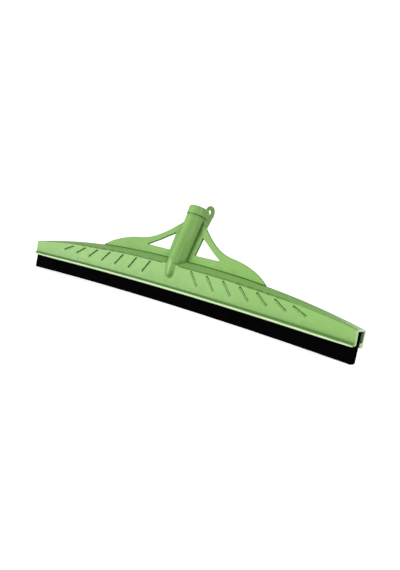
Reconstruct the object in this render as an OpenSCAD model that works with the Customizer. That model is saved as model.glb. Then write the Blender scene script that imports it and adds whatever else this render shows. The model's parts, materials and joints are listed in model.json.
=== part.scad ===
/* [Bar] */
// Length of the moulded head
bar_len = 550; // [400:5:650]
// Outside height of the channel at its ends
end_h = 20; // [19:0.5:26]
// Extra height of the front face at the middle
crown_rise = 14; // [8:0.5:18]
// Extra height of the crest, behind the front face, at the middle
crest_rise = 20.4; // [16:0.2:24]
// How much lower the two ends sit than the middle
bow = 4.6; // [0:0.2:8]
// Wall thickness of the moulding
wall_t = 2.4; // [2:0.1:2.8]
// Distance of the front wall from the mid-plane, at the mouth
front_y = 8.8; // [8.8:0.1:10]
// Distance of the back wall from the mid-plane
back_y = 10.4; // [10:0.1:12]
// Forward lean of the front wall, in degrees
front_lean = 4; // [2:0.5:5]
// Slope of the shoulder between front face and crest, in degrees
shoulder_slope = 24; // [20:1:30]
// How far the front lip stands out
lip_out = 2.2; // [1:0.1:3]
// Height of the front lip
lip_h = 2; // [1.5:0.1:3]
// Height of the gripping jaw at the foot of the back wall
jaw_h = 5.8; // [4:0.1:7]

/* [Grooves] */
// Number of grooves on each side
groove_count = 7; // [5:1:7]
// Distance from the middle to the first groove
groove_start = 42; // [36:1:46]
// Distance between grooves
groove_pitch = 26.4; // [22:0.1:27]
// Width of a groove
groove_w = 2.6; // [2:0.1:3.2]
// Depth of a groove
groove_depth = 1; // [0.6:0.1:1.2]

/* [Handle socket] */
// Backward lean of the socket, in degrees
socket_lean = 16; // [12:1:20]
// Length of the socket above the crest
socket_len = 74.4; // [65:0.1:85]
// Outside radius of the socket at its foot
socket_foot_r = 13.2; // [13:0.1:14]
// Outside radius of the socket under the collar
socket_top_r = 13.6; // [13.4:0.1:13.8]
// Outside radius of the collar
collar_r = 14.2; // [14:0.1:16]
// Height of the collar
collar_h = 11.5; // [6:0.5:14]
// Radius of the handle bore
bore_r = 11.2; // [10:0.1:11.4]
// Depth of the handle bore
bore_depth = 60; // [40:1:62]

/* [Wings] */
// Thickness of the wing plates
wing_t = 3.2; // [2.5:0.1:4]
// Backward lean of the wing plates, in degrees
wing_lean = 18.5; // [14:0.5:20]
// Distance of each wing tip from the middle
wing_tip_x = 141.5; // [137:0.5:146]

/* [Hang eye] */
// Thickness of the fin
fin_t = 2.2; // [2:0.1:5]
// Outside radius of the eye
eye_r = 9; // [7.6:0.1:10]
// Radius of the hole
eye_hole_r = 3; // [2:0.1:4]

/* [Foam blades] */
// Thickness of each foam strip
foam_t = 4; // [3:0.1:4]
// How far the foam stands out of the channel
foam_out = 19.7; // [12:0.1:25]
// Length by which the foam stops short at each end
foam_short = 0.6; // [0:0.1:3]

/* [Hidden] */
half = bar_len / 2;
steps = 22;
far = 200;
crown_power = 2.4;
crest_power = 2.5;
back_drop = 3.4;
groove_mid_z = 21.6;
groove_fall = 0.26;
groove_lean = 37;
groove_turn = 1.2;
groove_bend = 0.65;
groove_len = 22;
groove_shrink = 0.25;
foot_step = 0.4;
nose_step = 0.1;
nose_below = 5;
nose_off = 4.3;
nose_high_r = 9.8;
nose_mid = [0, -2.6, 36.5];
nose_mid_r = 10.3;
nose_low = [0, -9.6, 21.5];
nose_low_r = 4.6;
eye = [50, 109.9];
eye_hole = [48.4, 110];
foam_gap = 0.2;
foam_clear = 0.2;
foam_front_y = -front_y + wall_t + bow * tan(front_lean) + foam_clear / 2;
foam_back_y = foam_front_y + 2 * foam_t + foam_gap;
foam_top_z = end_h - wall_t - 0.2;
jaw_y = foam_back_y + foam_clear;
jaw_below = 0.9;
socket_foot = [0, 5.2, 40];
mouth = socket_foot + socket_len * [0, sin(socket_lean), cos(socket_lean)];
rib_pitch = 50;
rib_t = 2;
corner_r = 4;
head_color = [0.47, 0.74, 0.35];
foam_color = [0.05, 0.05, 0.05];

// Heights along the head, as functions of the distance from its middle
function share(x) = abs(x) / half;
function sag(x) = bow * pow(share(x), 2);
function top_z(x, rise, power) = end_h + rise * (1 - pow(share(x), power)) - sag(x);
function station(i, reach) = reach * (2 * i / steps - 1);

// Point at t on the cubic curve with ends a and d and handles b and c
function bezier(a, b, c, d, t) =
    pow(1 - t, 3) * a + 3 * t * pow(1 - t, 2) * b + 3 * t * t * (1 - t) * c + pow(t, 3) * d;

// A drawing in X and Z, made solid between two Y values
module from_y_to_y(y0, y1) {
    translate([0, y1, 0])
        rotate([90, 0, 0])
            linear_extrude(y1 - y0)
                children();
}

// A drawing in Y and Z, made solid along X about the middle
module along_x(width) {
    rotate([90, 0, 90])
        linear_extrude(width, center = true)
            children();
}

// A strip that follows the bow, between two heights above the mouth
module bowed_strip(z0, z1, reach) {
    polygon(concat(
        [for (i = [0:steps]) [station(i, reach), z0 - sag(station(i, reach))]],
        [for (i = [steps:-1:0]) [station(i, reach), z1 - sag(station(i, reach))]]
    ));
}

// Everything below a sloping shoulder whose outer edge is at edge_y
module shoulder(reach, edge_y, rise, power, t) {
    from_y_to_y(-far, far)
        polygon(concat(
            [[-reach, -far], [reach, -far]],
            [for (i = [steps:-1:0])
                let (x = station(i, reach))
                [x, top_z(x, rise, power) * cos(shoulder_slope) + edge_y * sin(shoulder_slope) - t]]
        ));
}

// The bar's solid outline, with its walls, shoulder and crest moved inwards by t
module bar_form(t, reach, floor_z) {
    lean = tan(front_lean);
    slope = shoulder_slope;
    intersection() {
        along_x(2 * reach)
            polygon([
                [-front_y + t + lean * far / 2, -far / 2],
                [back_y - t, -far / 2],
                [back_y - t, far / 2],
                [-front_y + t - lean * far / 2, far / 2]
            ]);
        from_y_to_y(-far, far)
            polygon(concat(
                [for (i = [0:steps]) [station(i, reach), floor_z - sag(station(i, reach))]],
                [for (i = [steps:-1:0]) [station(i, reach), top_z(station(i, reach), crest_rise, crest_power) - t]]
            ));
        rotate([slope, 0, 0])
            shoulder(reach, front_y + lean * end_h, crown_rise, crown_power, t);
        rotate([-slope, 0, 0])
            shoulder(reach, back_y, crest_rise - back_drop, crest_power, t);
    }
}

// Cross ribs under the crest, which stop the foam and brace the back wall
module ribs() {
    rib_low_z = jaw_h - jaw_below - 1;
    rib_face_y = jaw_y + 0.3;
    intersection() {
        bar_form(wall_t / 2, half + 1, -far / 4);
        for (side = [-1, 1], i = [0:4])
            translate([side * rib_pitch * (i + 0.5), 0, -sag(rib_pitch * (i + 0.5))])
                along_x(rib_t)
                    polygon([
                        [-far / 4, foam_top_z + 0.2],
                        [rib_face_y, foam_top_z + 0.2],
                        [rib_face_y, rib_low_z],
                        [far / 4, rib_low_z],
                        [far / 4, far],
                        [-far / 4, far]
                    ]);
    }
}

// Lip that stands out along the foot of the front wall
module lip() {
    from_y_to_y(-front_y - lip_out, -front_y + wall_t - 0.1)
        bowed_strip(0, lip_h, half);
}

// Takes the lower corners off the front wall and its lip
module corner_cuts() {
    for (side = [0, 1])
        mirror([side, 0, 0])
            from_y_to_y(-far, foam_front_y - 0.1)
                translate([half - corner_r, corner_r - sag(half)])
                    difference() {
                        translate([0, -2 * corner_r])
                            square([2 * corner_r, 2 * corner_r]);
                        circle(r = corner_r, $fn = 48);
                    }
}

// Rounded jaw at the foot of the back wall, which presses on the foam
module jaw() {
    from_y_to_y(jaw_y, back_y + 1)
        bowed_strip(-jaw_below, jaw_h - jaw_below, half);
}

// Straight groove with round ends, upright, sunk into the front wall
module groove(length) {
    offset_z = length / 2 - groove_w / 2;
    rotate([90, 0, 0]) {
        translate([-groove_w / 2, -offset_z, 0])
            cube([groove_w, 2 * offset_z, far / 10]);
        for (end = [-1, 1])
            translate([0, end * offset_z, 0])
                cylinder(h = far / 10, r = groove_w / 2, $fn = 24);
    }
}

// Grooves on one side, longer and steeper towards the middle
module groove_row() {
    for (i = [0:groove_count - 1]) {
        x = groove_start + i * groove_pitch;
        z = groove_mid_z - groove_fall * i - sag(x);
        lean = groove_lean + groove_turn * i + groove_bend * i * i;
        length = groove_len - groove_shrink * i;
        translate([x, -front_y - tan(front_lean) * z + groove_depth, z])
            rotate([front_lean, 0, 0])
                rotate([0, -lean, 0])
                    groove(length);
    }
}

// What leans back from the socket's foot is drawn upright
module leaning(angle) {
    translate(socket_foot)
        rotate([-angle, 0, 0])
            children();
}

// Outline of one wing: convex from the tip, then hollow up to the socket
module wing_outline() {
    tip = [wing_tip_x, -4.4];
    hump = [82, 18];
    top = [11, 61];
    count = 12;
    polygon(concat(
        [[0, -8], [wing_tip_x - 4, -8]],
        [for (i = [0:count]) bezier(tip, [129, 6.2], [106, 15.4], hump, i / count)],
        [for (i = [1:count]) bezier(hump, [58, 20.6], [38, 33.6], top, i / count)],
        [[0, 61]]
    ));
}

// Three-cornered window in one wing
module wing_window() {
    polygon([[22.7, 10.8], [62.5, 11.2], [45.6, 20.9], [35, 28.1], [24, 35]]);
}

// Both wing plates
module wings() {
    leaning(wing_lean)
        for (side = [0, 1])
            mirror([side, 0, 0])
                from_y_to_y(-wing_t / 2, wing_t / 2)
                    difference() {
                        wing_outline();
                        wing_window();
                    }
}

// Socket tube, its collar and its round lower end
module socket() {
    leaning(socket_lean) {
        sphere(r = socket_foot_r - foot_step, $fn = 64);
        translate([0, 0, -1])
            cylinder(h = socket_len, r1 = socket_foot_r, r2 = socket_top_r, $fn = 96);
        translate([0, 0, socket_len - collar_h])
            cylinder(h = collar_h, r = collar_r, $fn = 96);
    }
}

// Round tapered body from a ball of radius r0 at p0 to a ball of radius r1 at p1
module taper(p0, r0, p1, r1) {
    v = p1 - p0;
    d = norm(v);
    meet = acos((r0 - r1) / d);
    count = 10;
    translate(p0)
        rotate([0, acos(v[2] / d), atan2(v[1], v[0])])
            rotate_extrude($fn = 64)
                polygon(concat(
                    [for (i = [0:count]) let (a = 180 - i / count * (180 - meet)) r0 * [sin(a), cos(a)]],
                    [for (i = [0:count]) let (a = meet * (1 - i / count)) [0, d] + r1 * [sin(a), cos(a)]]
                ));
}

// Prow that starts on the socket's front, under the collar, and runs down over the front face
module nose() {
    up = [0, sin(socket_lean), cos(socket_lean)];
    ahead = [0, -cos(socket_lean), sin(socket_lean)];
    nose_high = socket_foot + (socket_len - collar_h - nose_below) * up + nose_off * ahead;
    taper(nose_high, nose_high_r, nose_mid, nose_mid_r - nose_step);
    taper(nose_mid, nose_mid_r, nose_low, nose_low_r);
}

// Hollow of the prow's lower part
module nose_hollow() {
    taper(nose_mid, nose_mid_r - wall_t, nose_low, nose_low_r - wall_t);
}

// Fin behind the socket that ends in the hang eye, in Y and Z
module fin() {
    along_x(fin_t) {
        translate(eye)
            circle(r = eye_r, $fn = 64);
        polygon([
            [20, 95],
            [33.7, 106.7],
            [37.8, 108.1],
            [41.7, 115.9],
            eye + eye_r * [cos(120), sin(120)],
            eye,
            eye + eye_r * [cos(-20), sin(-20)],
            [51.5, 91.5],
            [43, 76],
            [32, 62],
            [22, 56],
            [15, 56]
        ]);
    }
}

// Outside of the moulding
module head_solid() {
    bar_form(0, half, 0);
    lip();
    wings();
    socket();
    nose();
    fin();
}

// Everything that is hollow or cut away
module head_cuts() {
    bar_form(wall_t, half + 1, -far / 4);
    nose_hollow();
    corner_cuts();
    leaning(socket_lean)
        translate([0, 0, socket_len - bore_depth])
            cylinder(h = bore_depth + collar_h, r = bore_r, $fn = 96);
    along_x(2 * fin_t)
        translate(eye_hole)
            circle(r = eye_hole_r, $fn = 48);
    for (side = [0, 1])
        mirror([side, 0, 0])
            groove_row();
}

module head() {
    color(head_color)
        translate(-mouth) {
            difference() {
                head_solid();
                head_cuts();
            }
            ribs();
            jaw();
        }
}

// One foam strip whose front face is at y
module foam(y) {
    color(foam_color)
        translate(-mouth)
            from_y_to_y(y, y + foam_t)
                bowed_strip(-foam_out, foam_top_z, half - foam_short);
}

module front_foam_strip() {
    foam(foam_front_y);
}

module rear_foam_strip() {
    foam(foam_front_y + foam_t + foam_gap);
}

head();
front_foam_strip();
rear_foam_strip();
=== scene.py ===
import json
import math

import bpy
import numpy as np
from mathutils import Matrix, Vector


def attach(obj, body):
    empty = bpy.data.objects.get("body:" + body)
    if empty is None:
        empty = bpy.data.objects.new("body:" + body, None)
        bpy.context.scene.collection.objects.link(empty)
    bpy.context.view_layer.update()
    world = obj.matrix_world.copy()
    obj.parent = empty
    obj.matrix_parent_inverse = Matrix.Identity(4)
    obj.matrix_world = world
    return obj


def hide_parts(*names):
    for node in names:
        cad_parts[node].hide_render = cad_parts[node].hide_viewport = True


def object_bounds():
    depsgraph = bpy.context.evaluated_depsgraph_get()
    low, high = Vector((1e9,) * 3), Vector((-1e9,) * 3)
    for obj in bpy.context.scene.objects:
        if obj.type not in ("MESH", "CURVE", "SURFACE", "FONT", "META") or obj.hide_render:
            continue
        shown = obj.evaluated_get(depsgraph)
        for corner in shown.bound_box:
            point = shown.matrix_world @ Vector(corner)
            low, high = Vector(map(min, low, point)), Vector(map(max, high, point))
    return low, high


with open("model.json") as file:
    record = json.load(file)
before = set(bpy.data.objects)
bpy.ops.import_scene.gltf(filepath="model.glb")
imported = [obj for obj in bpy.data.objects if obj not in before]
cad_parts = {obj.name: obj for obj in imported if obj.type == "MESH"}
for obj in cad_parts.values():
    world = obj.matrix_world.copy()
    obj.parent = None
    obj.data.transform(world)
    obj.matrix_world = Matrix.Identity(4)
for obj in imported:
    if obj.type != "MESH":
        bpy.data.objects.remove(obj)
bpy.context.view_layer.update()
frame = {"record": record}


MM = 0.001

# The drawing below is in millimetres: X along the bar, Z up, the channel's mouth at Z = 0 in the
# middle of the bar. It is the CAD's own drawing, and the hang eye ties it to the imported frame.
BAR_LEN, END_H, CROWN_RISE, CREST_RISE, BOW = 550.0, 20.0, 14.0, 20.4, 4.6
HALF = BAR_LEN / 2
WALL, FRONT_Y, BACK_Y = 2.4, 8.8, 10.4
FRONT_LEAN = math.tan(math.radians(4))
SHOULDER = math.radians(24)
CROWN_POWER, CREST_POWER, BACK_DROP = 2.4, 2.5, 3.4
LIP_OUT, LIP_H, CORNER_R = 2.2, 2.0, 4.0
FOOT = np.array([0.0, 5.2, 40.0])
SOCKET_LEAN, SOCKET_LEN = math.radians(16), 74.4
FOOT_R, TOP_R, COLLAR_R, COLLAR_H = 13.2, 13.6, 14.2, 11.5
BORE_R, BORE_DEPTH = 11.2, 60.0
NOSE_START, NOSE_OFF, NOSE_HIGH_R = SOCKET_LEN - COLLAR_H - 5, 4.3, 9.8
NOSE_HIGH = FOOT + NOSE_START * np.array([0, math.sin(SOCKET_LEAN), math.cos(SOCKET_LEAN)]) \
    + NOSE_OFF * np.array([0, -math.cos(SOCKET_LEAN), math.sin(SOCKET_LEAN)])
NOSE_MID, NOSE_MID_R = np.array([0, -2.6, 36.5]), 10.3
NOSE_LOW, NOSE_LOW_R = np.array([0, -9.6, 21.5]), 4.6
WING_LEAN, WING_T = math.radians(18.5), 3.2
EYE, EYE_R = (50.0, 109.9), 9.0
EYE_HOLE, EYE_HOLE_R, FIN_T = (48.4, 110.0), 3.0, 2.2
FOAM_T, FOAM_GAP, FOAM_OUT, FOAM_SHORT = 4.0, 0.2, 19.7, 0.6
FOAM_FRONT_Y = -FRONT_Y + WALL + BOW * FRONT_LEAN + 0.1
FOAM_TOP = END_H - WALL - 0.2
JAW_Y, JAW_H, JAW_BELOW = FOAM_FRONT_Y + 2 * FOAM_T + FOAM_GAP + 0.2, 5.8, 0.9
RIB_PITCH, RIB_T = 50.0, 2.0
SHELL_ROUND, LIP_ROUND, JAW_ROUND = 1.4, 1.4, 4.0
NOTCH_R, NOTCH_START, NOTCH_FADE, NOTCH_END = 1.3, 12.0, 60.0, 210.0
GROOVES, GROOVE_X, GROOVE_PITCH, GROOVE_Z = 7, 42.0, 26.4, 21.6
GROOVE_R, GROOVE_LEN, GROOVE_DEPTH, GROOVE_LEAN = 1.3, 22.0, 1.0, 37.0

mounts = {m["name"]: m for m in frame["record"]["mounts"]}
ORIGIN = np.array([0, *EYE_HOLE]) - np.array(mounts["hang_eye"]["pos_m"]) / MM


# Distances: every shape is a function that is negative inside the shape

def join(a, b, r):
    """Union of two shapes, with a fillet of about r."""
    h = np.maximum(r - np.abs(a - b), 0)
    return np.minimum(a, b) - h * h / (4 * r)


def both(a, b, r):
    """What is in both shapes, with edges rounded by about r."""
    h = np.maximum(r - np.abs(a - b), 0)
    return np.maximum(a, b) + h * h / (4 * r)


def minus(a, b, r):
    """a without b, with edges rounded by about r."""
    return both(a, -b, r)


def leaning(y, z, angle):
    """Y and Z seen from the socket's foot, upright along what leans back by angle."""
    y, z = y - FOOT[1], z - FOOT[2]
    c, s = math.cos(angle), math.sin(angle)
    return y * c - z * s, y * s + z * c


def outline(u, v, corners):
    """Distance to a flat outline."""
    best = np.full_like(u, 1e9)
    odd = np.zeros(u.shape, bool)
    for (u0, v0), (u1, v1) in zip(corners, corners[1:] + corners[:1]):
        eu, ev = u1 - u0, v1 - v0
        wu, wv = u - u0, v - v0
        t = np.clip((wu * eu + wv * ev) / (eu * eu + ev * ev), 0, 1)
        best = np.minimum(best, (wu - eu * t) ** 2 + (wv - ev * t) ** 2)
        if ev:
            odd ^= ((v0 <= v) != (v1 <= v)) & (u < u0 + (v - v0) * eu / ev)
    return np.where(odd, -1, 1) * np.sqrt(best)


def bezier(a, b, c, d, count):
    """count + 1 points along a curve from a to d."""
    a, b, c, d = (np.array(p, float) for p in (a, b, c, d))
    t = np.linspace(0, 1, count + 1)[:, None]
    points = (1 - t) ** 3 * a + 3 * t * (1 - t) ** 2 * b + 3 * t * t * (1 - t) * c + t ** 3 * d
    return [tuple(p) for p in points]


def sag(x):
    """How far the bowed bar hangs below its middle."""
    return BOW * (x / HALF) ** 2


def top_z(x, rise, power):
    """Height of a crowned line that is END_H over the mouth at the ends."""
    return END_H + rise * (1 - np.minimum(x / HALF, 1) ** power) - sag(x)


def front_face(y, z, t=0.0):
    """Distance to the front face, moved inwards by t."""
    return (-FRONT_Y + t - FRONT_LEAN * z - y) * math.cos(math.atan(FRONT_LEAN))


def shoulder_line(x, y, z):
    """Distance from the edge between front face and shoulder."""
    s, c = math.sin(SHOULDER), math.cos(SHOULDER)
    edge_z = (c * top_z(x, CROWN_RISE, CROWN_POWER) + s * FRONT_LEAN * END_H) / (c + s * FRONT_LEAN)
    return np.hypot(y + FRONT_Y + FRONT_LEAN * edge_z, z - edge_z)


def bar(x, y, z, t, r):
    """The bar with no end and no floor, its faces moved inwards by t."""
    s, c = math.sin(SHOULDER), math.cos(SHOULDER)
    edge_y = FRONT_Y + FRONT_LEAN * END_H
    ahead = c * (z - top_z(x, CROWN_RISE, CROWN_POWER)) - s * (y + edge_y) + t
    crest = 0.98 * (z - top_z(x, CREST_RISE, CREST_POWER) + t)
    behind = c * (z - top_z(x, CREST_RISE - BACK_DROP, CREST_POWER)) + s * (y - BACK_Y) + t
    d = both(front_face(y, z, t), ahead, r)
    d = both(both(d, crest, r), behind, r)
    return both(d, y - BACK_Y + t, r)


def round_cone(x, y, z, a, ra, b, rb):
    """Body between a ball of radius ra at a and a ball of radius rb at b."""
    ba = b - a
    l2 = float(ba @ ba)
    rr = ra - rb
    a2 = l2 - rr * rr
    px, py, pz = x - a[0], y - a[1], z - a[2]
    along = px * ba[0] + py * ba[1] + pz * ba[2]
    beyond = along - l2
    x2 = (px * l2 - ba[0] * along) ** 2 + (py * l2 - ba[1] * along) ** 2 + (pz * l2 - ba[2] * along) ** 2
    k = np.sign(rr) * rr * rr * x2
    side = (np.sqrt(x2 * a2 / l2) + along * rr) / l2 - ra
    tip = np.sqrt(x2 + beyond * beyond * l2) / l2 - rb
    root = np.sqrt(x2 + along * along * l2) / l2 - ra
    at_tip = np.sign(beyond) * a2 * beyond * beyond * l2 > k
    at_root = np.sign(along) * a2 * along * along * l2 < k
    return np.where(at_tip, tip, np.where(at_root, root, side))


WING = ([(0, -8), (137.5, -8)]
        + bezier((141.5, -4.4), (129, 6.2), (106, 15.4), (82, 18), 10)
        + bezier((82, 18), (58, 20.6), (38, 33.6), (11, 61), 12)[1:]
        + [(0, 61)])
WINDOW = [(22.7, 10.8), (62.5, 11.2), (45.6, 20.9), (35, 28.1), (24, 35)]
FIN = [(20, 95), (33.7, 106.7), (37.8, 108.1), (41.7, 115.9), (45.5, 117.7), (50, 109.9), (58.46, 106.82),
       (51.5, 91.5), (43, 76), (32, 62), (22, 56), (15, 56)]


def wings(x, y, z):
    """The leaning plate that makes both wings, with its windows."""
    u, w = leaning(y, z, WING_LEAN)
    d = both(outline(x, w, WING), np.abs(u) - WING_T / 2, 1.3)
    return minus(d, outline(x, w, WINDOW) - 0.3, 1.0)


def socket(x, y, z):
    """The handle socket and its collar, with no bore."""
    u, w = leaning(y, z, SOCKET_LEAN)
    rho = np.hypot(x, u)
    cone = rho - FOOT_R - (TOP_R - FOOT_R) * np.clip(w / SOCKET_LEN, 0, 1)
    tube = np.where(w < 0, np.hypot(rho, w) - FOOT_R, cone)
    tube = both(tube, w - SOCKET_LEN, 1.0)
    collar = both(both(rho - COLLAR_R, SOCKET_LEN - COLLAR_H - w, 0.4), w - SOCKET_LEN, 1.4)
    return join(tube, collar, 0.3)


def fin(x, y, z):
    """The upright fin behind the socket, with the hang eye."""
    d = join(outline(y, z, FIN), np.hypot(y - EYE[0], z - EYE[1]) - EYE_R, 2.0)
    d = both(d, x - FIN_T / 2, 1.3)
    return minus(d, np.hypot(y - EYE_HOLE[0], z - EYE_HOLE[1]) - EYE_HOLE_R, 1.6)


def groove_plan(x, z):
    """Distance to the outlines of the slanting grooves, seen from the front."""
    best = np.full_like(x, 50.0)
    for i in range(GROOVES):
        gx = GROOVE_X + GROOVE_PITCH * i
        gz = GROOVE_Z - 0.26 * i - float(sag(gx))
        lean = math.radians(GROOVE_LEAN + 1.2 * i + 0.65 * i * i)
        reach = (GROOVE_LEN - 0.25 * i) / 2 - GROOVE_R
        du, dv = x - gx, z - gz
        s, c = math.sin(lean), math.cos(lean)
        along = np.clip(-s * du + c * dv, -reach, reach)
        best = np.minimum(best, np.hypot(du + s * along, dv - c * along) - GROOVE_R)
    return best


def grooves(x, y, z):
    """What the grooves take out of the front face."""
    return both(groove_plan(x, z), -GROOVE_DEPTH - front_face(y, z), 0.5)


def ribs(x, y, z):
    """The cross ribs that close the channel above and behind the foam."""
    near = RIB_PITCH * (np.clip(np.round(x / RIB_PITCH - 0.5), 0, 4) + 0.5)
    zb = z + sag(near)
    face_y, low_z = JAW_Y + 0.3, JAW_H - JAW_BELOW - 1
    where = np.minimum(FOAM_TOP + 0.2 - zb, np.maximum(face_y - y, low_z - zb))
    return np.maximum(both(where, np.abs(x - near) - RIB_T / 2, 0.5), bar(x, y, z, WALL / 2, 0.5))


def head(p):
    """The whole moulding."""
    x, y, z = np.abs(p[:, 0]), p[:, 1], p[:, 2]
    zb = z + sag(x)
    shell = both(bar(x, y, z, 0, SHELL_ROUND), -zb, 0.8)
    lip = both(both(-FRONT_Y - LIP_OUT - y, y + FRONT_Y - 1, 0.5), np.abs(zb - LIP_H / 2) - LIP_H / 2, LIP_ROUND)
    shell = join(shell, lip, 5.0)
    fade = np.clip(np.minimum((x - NOTCH_START) / 3, (NOTCH_END - x) / NOTCH_FADE), 0, 1)
    notch = shoulder_line(x, y, z) - NOTCH_R * fade
    shell = minus(shell, notch, 0.4)
    nose = join(round_cone(x, y, z, NOSE_HIGH, NOSE_HIGH_R, NOSE_MID, NOSE_MID_R),
                round_cone(x, y, z, NOSE_MID, NOSE_MID_R, NOSE_LOW, NOSE_LOW_R), 1.0)
    d = join(shell, join(nose, socket(x, y, z), 0.9), 3.0)
    # near is the space around a detail, so that it isn't worked out everywhere
    near = (x < 150) & (z > 15)
    d[near] = join(d[near], wings(x[near], y[near], z[near]), 1.2)
    near = (x < 12) & (y > 8) & (z > 50)
    d[near] = join(d[near], fin(x[near], y[near], z[near]), 1.6)
    nose_hollow = round_cone(x, y, z, NOSE_MID, NOSE_MID_R - WALL, NOSE_LOW, NOSE_LOW_R - WALL)
    hollow = join(bar(x, y, z, WALL, 0.8), nose_hollow, 2.0)
    d = minus(d, hollow, 0.6)
    d = np.minimum(d, ribs(x, y, z))
    jaw = both(np.abs(y - (JAW_Y + BACK_Y + 1) / 2) - (BACK_Y + 1 - JAW_Y) / 2,
               np.abs(zb + JAW_BELOW - JAW_H / 2) - JAW_H / 2, JAW_ROUND)
    d = join(d, jaw, 0.8)
    d = both(d, x - HALF, 0.5)
    corner = np.hypot(np.maximum(x - HALF + CORNER_R, 0), np.maximum(CORNER_R - BOW - z, 0)) - CORNER_R
    d = minus(d, np.maximum(-corner, y - FOAM_FRONT_Y + 0.1), 0.8)
    u, w = leaning(y, z, SOCKET_LEAN)
    bore = np.maximum(np.hypot(x, u) - BORE_R, SOCKET_LEN - BORE_DEPTH - w)
    d = minus(d, bore, 1.2)
    near = (y < -4) & (z > 5) & (z < 36)
    d[near] = minus(d[near], grooves(x[near], y[near], z[near]), 0.5)
    return d


def foam(y0):
    """A foam strip whose front face is at y0."""
    mid_y = y0 + FOAM_T / 2
    reach = HALF - FOAM_SHORT

    def distance(p):
        x, y, z = np.abs(p[:, 0]), p[:, 1], p[:, 2]
        zb = z + sag(x)
        low = -FOAM_OUT - zb
        face = both(low, x - reach, 3.0)
        face = both(face, zb - FOAM_TOP, 1.0)
        d = both(face, np.abs(y - mid_y) - FOAM_T / 2, 1.1)
        wave = np.sin(p[:, 0] * 0.83 + y * 0.7) * np.sin(z * 0.91 - p[:, 0] * 0.37)
        return d + 0.03 * (1 + wave)
    return distance


# Meshes

BLOCK = 8


def sample(distance, low, high, pitch):
    """Values of distance on a grid over x >= 0, worked out only near the surface."""
    blocks = [int(math.ceil(((b - a) / pitch + 1) / BLOCK)) for a, b in zip(low, high)]
    grids = np.meshgrid(*[np.arange(n) for n in blocks], indexing="ij")
    index = np.stack([g.ravel() for g in grids], 1)
    centre = np.array(low) + pitch * (index * BLOCK + (BLOCK - 1) / 2)
    value = distance(centre)
    field = value.reshape(blocks).astype(np.float32)
    for k in range(3):
        field = field.repeat(BLOCK, k)
    view = field.reshape(blocks[0], BLOCK, blocks[1], BLOCK, blocks[2], BLOCK)
    active = index[np.abs(value) < pitch * BLOCK * 0.9 + 1.5]
    steps = np.stack(np.meshgrid(*[np.arange(BLOCK)] * 3, indexing="ij"), -1).reshape(-1, 3)
    for chunk in np.array_split(active, max(1, len(active) // 600)):
        points = np.array(low) + pitch * (chunk[:, None, :] * BLOCK + steps[None])
        values = distance(points.reshape(-1, 3)).reshape(-1, BLOCK, BLOCK, BLOCK)
        view[chunk[:, 0], :, chunk[:, 1], :, chunk[:, 2], :] = values
    return field


def surface_net(distance, low, high, pitch):
    """Points and four-cornered faces of distance = 0, the same on both sides of x = 0."""
    half = sample(distance, low, high, pitch)
    field = np.concatenate([half[:0:-1], half])
    corner = np.array([-pitch * (half.shape[0] - 1), low[1], low[2]])
    inside = field < 0
    n = np.array(field.shape) - 1
    total = np.zeros(n, np.int8)
    offsets = [(i, j, k) for i in (0, 1) for j in (0, 1) for k in (0, 1)]
    for i, j, k in offsets:
        total += inside[i:i + n[0], j:j + n[1], k:k + n[2]]
    cells = np.argwhere((total > 0) & (total < 8))
    number = np.full(n, -1, np.int32)
    number[tuple(cells.T)] = np.arange(len(cells))
    place = np.zeros((len(cells), 3))
    count = np.zeros(len(cells))
    for a in range(3):
        step = np.eye(3, dtype=int)[a]
        for offset in offsets:
            if offset[a]:
                continue
            start = cells + offset
            d0 = field[tuple(start.T)]
            d1 = field[tuple((start + step).T)]
            cross = (d0 < 0) != (d1 < 0)
            t = d0[cross] / (d0[cross] - d1[cross])
            place[cross] += start[cross] + step * t[:, None]
            count[cross] += 1
    points = corner + pitch * place / count[:, None]
    faces = []
    for a in range(3):
        b, c = (a + 1) % 3, (a + 2) % 3
        step_a, step_b, step_c = (np.eye(3, dtype=int)[k] for k in (a, b, c))
        first = [slice(None)] * 3
        last = [slice(None)] * 3
        first[a], last[a] = slice(0, -1), slice(1, None)
        edges = np.argwhere(inside[tuple(first)] != inside[tuple(last)])
        ring = [edges - step_b - step_c, edges - step_c, edges, edges - step_b]
        quad = np.stack([number[tuple(r.T)] for r in ring], 1)
        flip = ~inside[tuple(edges.T)]
        quad[flip] = quad[flip][:, ::-1]
        faces.append(quad)
    return points, np.concatenate(faces)


def slope(distance, points, step=0.04):
    """The direction in which distance grows at each point."""
    out = np.empty_like(points)
    for k in range(3):
        move = np.eye(3)[k] * step
        out[:, k] = (distance(points + move) - distance(points - move)) / (2 * step)
    return out


def settle(distance, points, pitch, rounds=2):
    """Moves points onto the surface."""
    for _ in range(rounds):
        g = slope(distance, points)
        d = distance(points)[:, None]
        move = d * g / np.maximum((g * g).sum(1, keepdims=True), 0.05)
        points = points - np.clip(move, -0.6 * pitch, 0.6 * pitch)
    return points


def crease_shade(distance, on, normals, reach=3.0):
    """How much each point is shut in by what is near it, from 0 to 1, used for painted shade in creases."""
    shut = np.zeros(len(on))
    for share in (0.35, 1.0):
        shut += np.clip(1 - distance(on + normals * reach * share) / (reach * share), 0, 1) / 2
    return shut


def seam(a, b):
    """1 where two surfaces meet, and 0 from 1.2 mm away."""
    return np.clip((1.2 - np.abs(a) - np.abs(b)) / 0.6, 0, 1)


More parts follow.
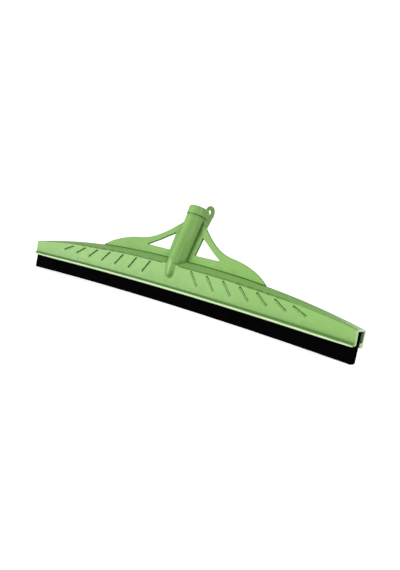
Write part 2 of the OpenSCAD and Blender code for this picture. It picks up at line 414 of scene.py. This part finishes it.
def head_light_and_shade(on, normals, shut):
    """Painted light and shade on the head: painted highlights on its lip, cut ends and groove floors, painted shade
    in its creases and along its lines.
    """
    x, y, z = np.abs(on[:, 0]), on[:, 1], on[:, 2]
    zb = z + sag(x)
    # Painted highlight: paler lip bead, cut ends and groove floors, where light catches them.
    lip = np.clip((-FRONT_Y - 1.2 - y) / 0.6, 0, 1) * np.clip((LIP_H - 0.5 - zb) / 0.5, 0, 1)
    end = np.clip((x - HALF + 1.0) / 0.5, 0, 1)
    # Painted shade: a darker band above the lip, a dark line under the shoulder, at the wing's foot and sides, on
    # its edges and on the grooves' upper walls.
    cove = 0.3 * np.clip(1.5 - np.abs(zb - 4.0) / 1.4, 0, 1) * (y < -FRONT_Y + 1)
    notch = 0.55 * np.clip((NOTCH_R + 0.25 - shoulder_line(x, y, z)) / 0.3, 0, 1)
    notch *= np.clip(np.minimum((x - NOTCH_START - 2) / 3, (NOTCH_END - 10 - x) / NOTCH_FADE), 0, 1)
    plate = wings(x, y, z)
    foot = seam(plate, bar(x, y, z, 0, SHELL_ROUND)) * (y < 5)
    side = 0.8 * seam(plate, socket(x, y, z))
    across = normals[:, 1] * math.cos(WING_LEAN) - normals[:, 2] * math.sin(WING_LEAN)
    free = (z > top_z(x, CREST_RISE, CREST_POWER) + 2) & (socket(x, y, z) > 1) & (np.abs(plate) < 0.2)
    rim = 0.4 * np.clip((0.8 - np.abs(across)) / 0.3, 0, 1) * free
    groove = np.clip((0.4 - grooves(x, y, z)) / 0.3, 0, 1) * (y < -FRONT_Y + 2)
    upper = (groove_plan(x, z + 0.2) - groove_plan(x, z)) / 0.2
    wall = groove * np.clip(upper / 0.4, 0, 1)
    floor = groove * np.clip(-upper / 0.4, 0, 1)
    return {"crease_shade": shut * (1 - groove),
            "painted_highlight": np.max([lip, end, 0.1 * floor], axis=0),
            "shade_line": np.max([cove, notch, foot, side, rim, wall], axis=0)}


def build(name, distance, low, high, pitch, triangles, more_marks=None):
    """An object from a distance, with about so many triangles and the shape's own normals."""
    points, faces = surface_net(distance, low, high, pitch)
    points = settle(distance, points, pitch)
    mesh = bpy.data.meshes.new(name)
    mesh.vertices.add(len(points))
    mesh.vertices.foreach_set("co", ((points - ORIGIN) * MM).astype(np.float32).ravel())
    mesh.loops.add(faces.size)
    mesh.loops.foreach_set("vertex_index", faces.astype(np.int32).ravel())
    mesh.polygons.add(len(faces))
    mesh.polygons.foreach_set("loop_start", np.arange(0, faces.size, 4, dtype=np.int32))
    mesh.update(calc_edges=True)
    obj = bpy.data.objects.new(name, mesh)
    bpy.context.scene.collection.objects.link(obj)
    if len(faces) * 2 > triangles:
        fewer = obj.modifiers.new("fewer", "DECIMATE")
        fewer.ratio = triangles / (len(faces) * 2)
        bpy.context.view_layer.update()
        thin = bpy.data.meshes.new_from_object(obj.evaluated_get(bpy.context.evaluated_depsgraph_get()))
        obj.modifiers.clear()
        obj.data = thin
        bpy.data.meshes.remove(mesh)
        mesh = thin
        mesh.name = name
    co = np.empty(len(mesh.vertices) * 3, np.float32)
    mesh.vertices.foreach_get("co", co)
    on = co.reshape(-1, 3).astype(float) / MM + ORIGIN
    on = settle(distance, on, pitch, 1)
    normals = slope(distance, on)
    normals /= np.maximum(np.linalg.norm(normals, axis=1, keepdims=True), 1e-6)
    mesh.vertices.foreach_set("co", ((on - ORIGIN) * MM).astype(np.float32).ravel())
    mesh.polygons.foreach_set("use_smooth", np.ones(len(mesh.polygons), bool))
    mesh.update()
    mesh.normals_split_custom_set_from_vertices(normals.tolist())
    marks = {"crease_shade": crease_shade(distance, on, normals)}
    if more_marks:
        marks = more_marks(on, normals, marks["crease_shade"])
    for key, values in marks.items():
        mesh.attributes.new(key, "FLOAT", "POINT").data.foreach_set("value", values.astype(np.float32))
    print(name, len(points), "points,", len(mesh.polygons), "faces")
    return obj


# Materials

def material(name):
    """A new material, its nodes, its links and its shader."""
    m = bpy.data.materials.new(name)
    m.use_nodes = True
    tree = m.node_tree
    return m, tree.nodes, tree.links, tree.nodes["Principled BSDF"]


def noise(nodes, links, scale, detail, coords):
    n = nodes.new("ShaderNodeTexNoise")
    n.inputs["Scale"].default_value = scale
    n.inputs["Detail"].default_value = detail
    links.new(coords.outputs["Object"], n.inputs["Vector"])
    return n


def spread(nodes, links, source, low, high):
    """source, whose useful part is 0.3 to 0.7, as low to high."""
    n = nodes.new("ShaderNodeMapRange")
    for name, value in (("From Min", 0.3), ("From Max", 0.7), ("To Min", low), ("To Max", high)):
        n.inputs[name].default_value = value
    links.new(source, n.inputs["Value"])
    return n.outputs["Result"]


def ramp(nodes, links, source, stops):
    """source as a colour between two stops, each a place and a colour."""
    n = nodes.new("ShaderNodeValToRGB")
    for element, (at, color) in zip(n.color_ramp.elements, stops):
        element.position = at
        element.color = (*color, 1)
    links.new(source, n.inputs["Fac"])
    return n.outputs["Color"]


def bump(nodes, links, source, strength, distance, below=None):
    """source as bumps, on top of the normals from below."""
    n = nodes.new("ShaderNodeBump")
    n.inputs["Strength"].default_value = strength
    n.inputs["Distance"].default_value = distance
    links.new(source, n.inputs["Height"])
    if below:
        links.new(below, n.inputs["Normal"])
    return n.outputs["Normal"]


def tint(nodes, links, color, key, most, other):
    """color, mixed towards other where the point attribute key is high."""
    attribute = nodes.new("ShaderNodeAttribute")
    attribute.attribute_name = key
    part = nodes.new("ShaderNodeMath")
    part.operation = "MULTIPLY"
    part.use_clamp = True
    part.inputs[1].default_value = most
    links.new(attribute.outputs["Fac"], part.inputs[0])
    mix = nodes.new("ShaderNodeMix")
    mix.data_type = "RGBA"
    links.new(part.outputs[0], mix.inputs["Factor"])
    links.new(color, mix.inputs["A"])
    mix.inputs["B"].default_value = (*other, 1)
    return mix.outputs["Result"]


GREEN = (0.235, 0.46, 0.115), (0.265, 0.5, 0.14)
# Colours for painted shade in creases and along lines, and for painted highlights.
CREASE_SHADE_GREEN, SHADE_LINE_GREEN, HIGHLIGHT_GREEN = (0.03, 0.085, 0.015), (0.02, 0.095, 0.006), (0.72, 0.92, 0.58)
BLACK = (0.0006, 0.0006, 0.0006), (0.0016, 0.0016, 0.0017)


def green_plastic():
    m, nodes, links, shader = material("green_plastic")
    coords = nodes.new("ShaderNodeTexCoord")
    cloud = noise(nodes, links, 14, 3, coords)
    grain = noise(nodes, links, 1400, 2, coords)
    peel = noise(nodes, links, 160, 2, coords)
    color = ramp(nodes, links, cloud.outputs["Fac"], zip((0.3, 0.7), GREEN))
    # Painted shade: darker in creases, where a point is shut in.
    color = tint(nodes, links, color, "crease_shade", 1.8, CREASE_SHADE_GREEN)
    # Painted shade along the head's lines.
    color = tint(nodes, links, color, "shade_line", 1.0, SHADE_LINE_GREEN)
    # Painted highlight on the lip, the cut ends and the groove floors.
    color = tint(nodes, links, color, "painted_highlight", 1.0, HIGHLIGHT_GREEN)
    links.new(color, shader.inputs["Base Color"])
    links.new(spread(nodes, links, peel.outputs["Fac"], 0.36, 0.44), shader.inputs["Roughness"])
    soft = bump(nodes, links, peel.outputs["Fac"], 0.08, 0.0003)
    links.new(bump(nodes, links, grain.outputs["Fac"], 0.08, 0.00006, soft), shader.inputs["Normal"])
    shader.inputs["IOR"].default_value = 1.49
    shader.inputs["Specular IOR Level"].default_value = 0.38
    shader.inputs["Specular Tint"].default_value = (0.78, 1.0, 0.62, 1)
    return m


def black_foam(name):
    m, nodes, links, shader = material(name)
    coords = nodes.new("ShaderNodeTexCoord")
    cells = nodes.new("ShaderNodeTexVoronoi")
    cells.inputs["Scale"].default_value = 1500
    links.new(coords.outputs["Object"], cells.inputs["Vector"])
    patch = noise(nodes, links, 60, 4, coords)
    grain = noise(nodes, links, 900, 3, coords)
    color = ramp(nodes, links, patch.outputs["Fac"], zip((0.3, 0.75), BLACK))
    links.new(color, shader.inputs["Base Color"])
    links.new(spread(nodes, links, grain.outputs["Fac"], 0.78, 0.96), shader.inputs["Roughness"])
    pores = bump(nodes, links, cells.outputs["Distance"], 0.5, 0.0002)
    links.new(bump(nodes, links, grain.outputs["Fac"], 0.4, 0.00015, pores), shader.inputs["Normal"])
    shader.inputs["Specular IOR Level"].default_value = 0.01
    return m


# The three pieces

HEAD_PITCH, FOAM_PITCH = ((0.85, 1.0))
HEAD_TRIANGLES, FOAM_TRIANGLES = 190000, 60000

head_piece = build("head_moulding", head, (0, -16, -7), (HALF + 2, 60, 121), HEAD_PITCH, HEAD_TRIANGLES, head_light_and_shade)
head_piece.data.materials.append(green_plastic())
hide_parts("head")
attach(head_piece, "root")

for name, node, slot, y0 in (
    ("foam_front", "front_foam_strip", "front_foam", FOAM_FRONT_Y),
    ("foam_rear", "rear_foam_strip", "rear_foam", FOAM_FRONT_Y + FOAM_T + FOAM_GAP),
):
    strip = build(name, foam(y0), (0, y0 - 2, -27), (HALF + 2, y0 + FOAM_T + 2, 20), FOAM_PITCH, FOAM_TRIANGLES)
    strip.data.materials.append(black_foam(name))
    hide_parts(node)
    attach(strip, "root")


# Camera, floor and light

CAMERA_LENS, CAMERA_SENSOR = 43.59, 36
CAMERA_AT = Vector((0.5818, -0.7263, -0.0192))
CAMERA_YAW, CAMERA_PITCH, CAMERA_ROLL = math.radians(37.418), math.radians(4.974), math.radians(11.692)
FLOOR_BELOW, FLOOR_R, COVE_R, WALL_TOP = 0.0002, 2.0, 1.0, 2.6
AROUND = 64
PAPER_GLOW, WORLD_LIGHT = 0.68, 0.34
KEY_POWER, KEY_SPREAD, KEY_SHINES = 2.5, math.radians(30), Vector((0.67, 0.743, -0.03))
LIGHT_AIM = Vector((0, 0, -0.05))


def place(obj, at, yaw, pitch, roll):
    """Puts obj at a point, looking level along +Y turned by yaw, with pitch down and roll."""
    back = Vector((math.sin(yaw) * math.cos(pitch), -math.cos(yaw) * math.cos(pitch), math.sin(pitch)))
    right = Vector((math.cos(yaw), math.sin(yaw), 0))
    up = back.cross(right)
    turned = math.cos(roll) * right + math.sin(roll) * up
    above = -math.sin(roll) * right + math.cos(roll) * up
    axes = Matrix((turned, above, back)).transposed()
    obj.matrix_world = Matrix.Translation(at) @ axes.to_4x4()


camera = bpy.data.objects.new("camera", bpy.data.cameras.new("camera"))
bpy.context.scene.collection.objects.link(camera)
camera.data.lens = CAMERA_LENS
camera.data.sensor_width = CAMERA_SENSOR
place(camera, CAMERA_AT, CAMERA_YAW, CAMERA_PITCH, CAMERA_ROLL)
bpy.context.scene.camera = camera

# A round floor that curves up into a wall
floor_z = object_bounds()[0][2] - FLOOR_BELOW
cove = [(FLOOR_R + COVE_R * math.sin(a), COVE_R - COVE_R * math.cos(a))
        for a in np.linspace(0.1, math.pi / 2, 12)]
rings = []
for radius, height in [(0.001, 0), (1.2, 0), (FLOOR_R, 0), *cove, (FLOOR_R + COVE_R, WALL_TOP)]:
    rings.append([(radius * math.cos(t), radius * math.sin(t), floor_z + height)
                  for t in np.linspace(0, 2 * math.pi, AROUND + 1)[:-1]])
backdrop_faces = []
for start in range(0, AROUND * (len(rings) - 1), AROUND):
    for i in range(AROUND):
        j = (i + 1) % AROUND
        backdrop_faces.append((start + i, start + j, start + AROUND + j, start + AROUND + i))
backdrop_mesh = bpy.data.meshes.new("backdrop")
backdrop_mesh.from_pydata([p for ring in rings for p in ring], [], backdrop_faces)
backdrop_mesh.polygons.foreach_set("use_smooth", [True] * len(backdrop_mesh.polygons))
backdrop = bpy.data.objects.new("backdrop", backdrop_mesh)
bpy.context.scene.collection.objects.link(backdrop)
paper, _, _, paper_shader = material("pale_paper")
paper_shader.inputs["Base Color"].default_value = (0.9, 0.9, 0.9, 1)
paper_shader.inputs["Roughness"].default_value = 0.9
paper_shader.inputs["Emission Color"].default_value = (1, 1, 1, 1)
paper_shader.inputs["Emission Strength"].default_value = PAPER_GLOW
backdrop_mesh.materials.append(paper)
backdrop.visible_diffuse = False
backdrop.visible_glossy = False
backdrop.visible_shadow = False

world = bpy.data.worlds.new("studio")
world.use_nodes = True
sky = world.node_tree.nodes["Background"]
sky.inputs["Color"].default_value = (1, 1, 1, 1)
sky.inputs["Strength"].default_value = WORLD_LIGHT
bpy.context.scene.world = world


def soft_light(name, at, size, power):
    """A rectangular light at a point, turned to the object."""
    data = bpy.data.lights.new(name, "AREA")
    data.shape = "RECTANGLE"
    data.size, data.size_y = size
    data.energy = power
    obj = bpy.data.objects.new(name, data)
    bpy.context.scene.collection.objects.link(obj)
    direction = LIGHT_AIM - Vector(at)
    obj.matrix_world = Matrix.Translation(at) @ direction.to_track_quat("-Z", "Y").to_matrix().to_4x4()


key = bpy.data.objects.new("key", bpy.data.lights.new("key", "SUN"))
key.data.energy = KEY_POWER
key.data.angle = KEY_SPREAD
key.matrix_world = KEY_SHINES.to_track_quat("-Z", "Y").to_matrix().to_4x4()
bpy.context.scene.collection.objects.link(key)
soft_light("right_strip", (1.5, -0.81, 0.72), (0.15, 0.9), 11)
soft_light("side", (1.95, -0.2, 0.4), (0.6, 0.9), 1.5)
soft_light("back", (0.3, 2.0, 0.9), (1.6, 1.0), 14)
bpy.context.scene.view_settings.view_transform = "Standard"
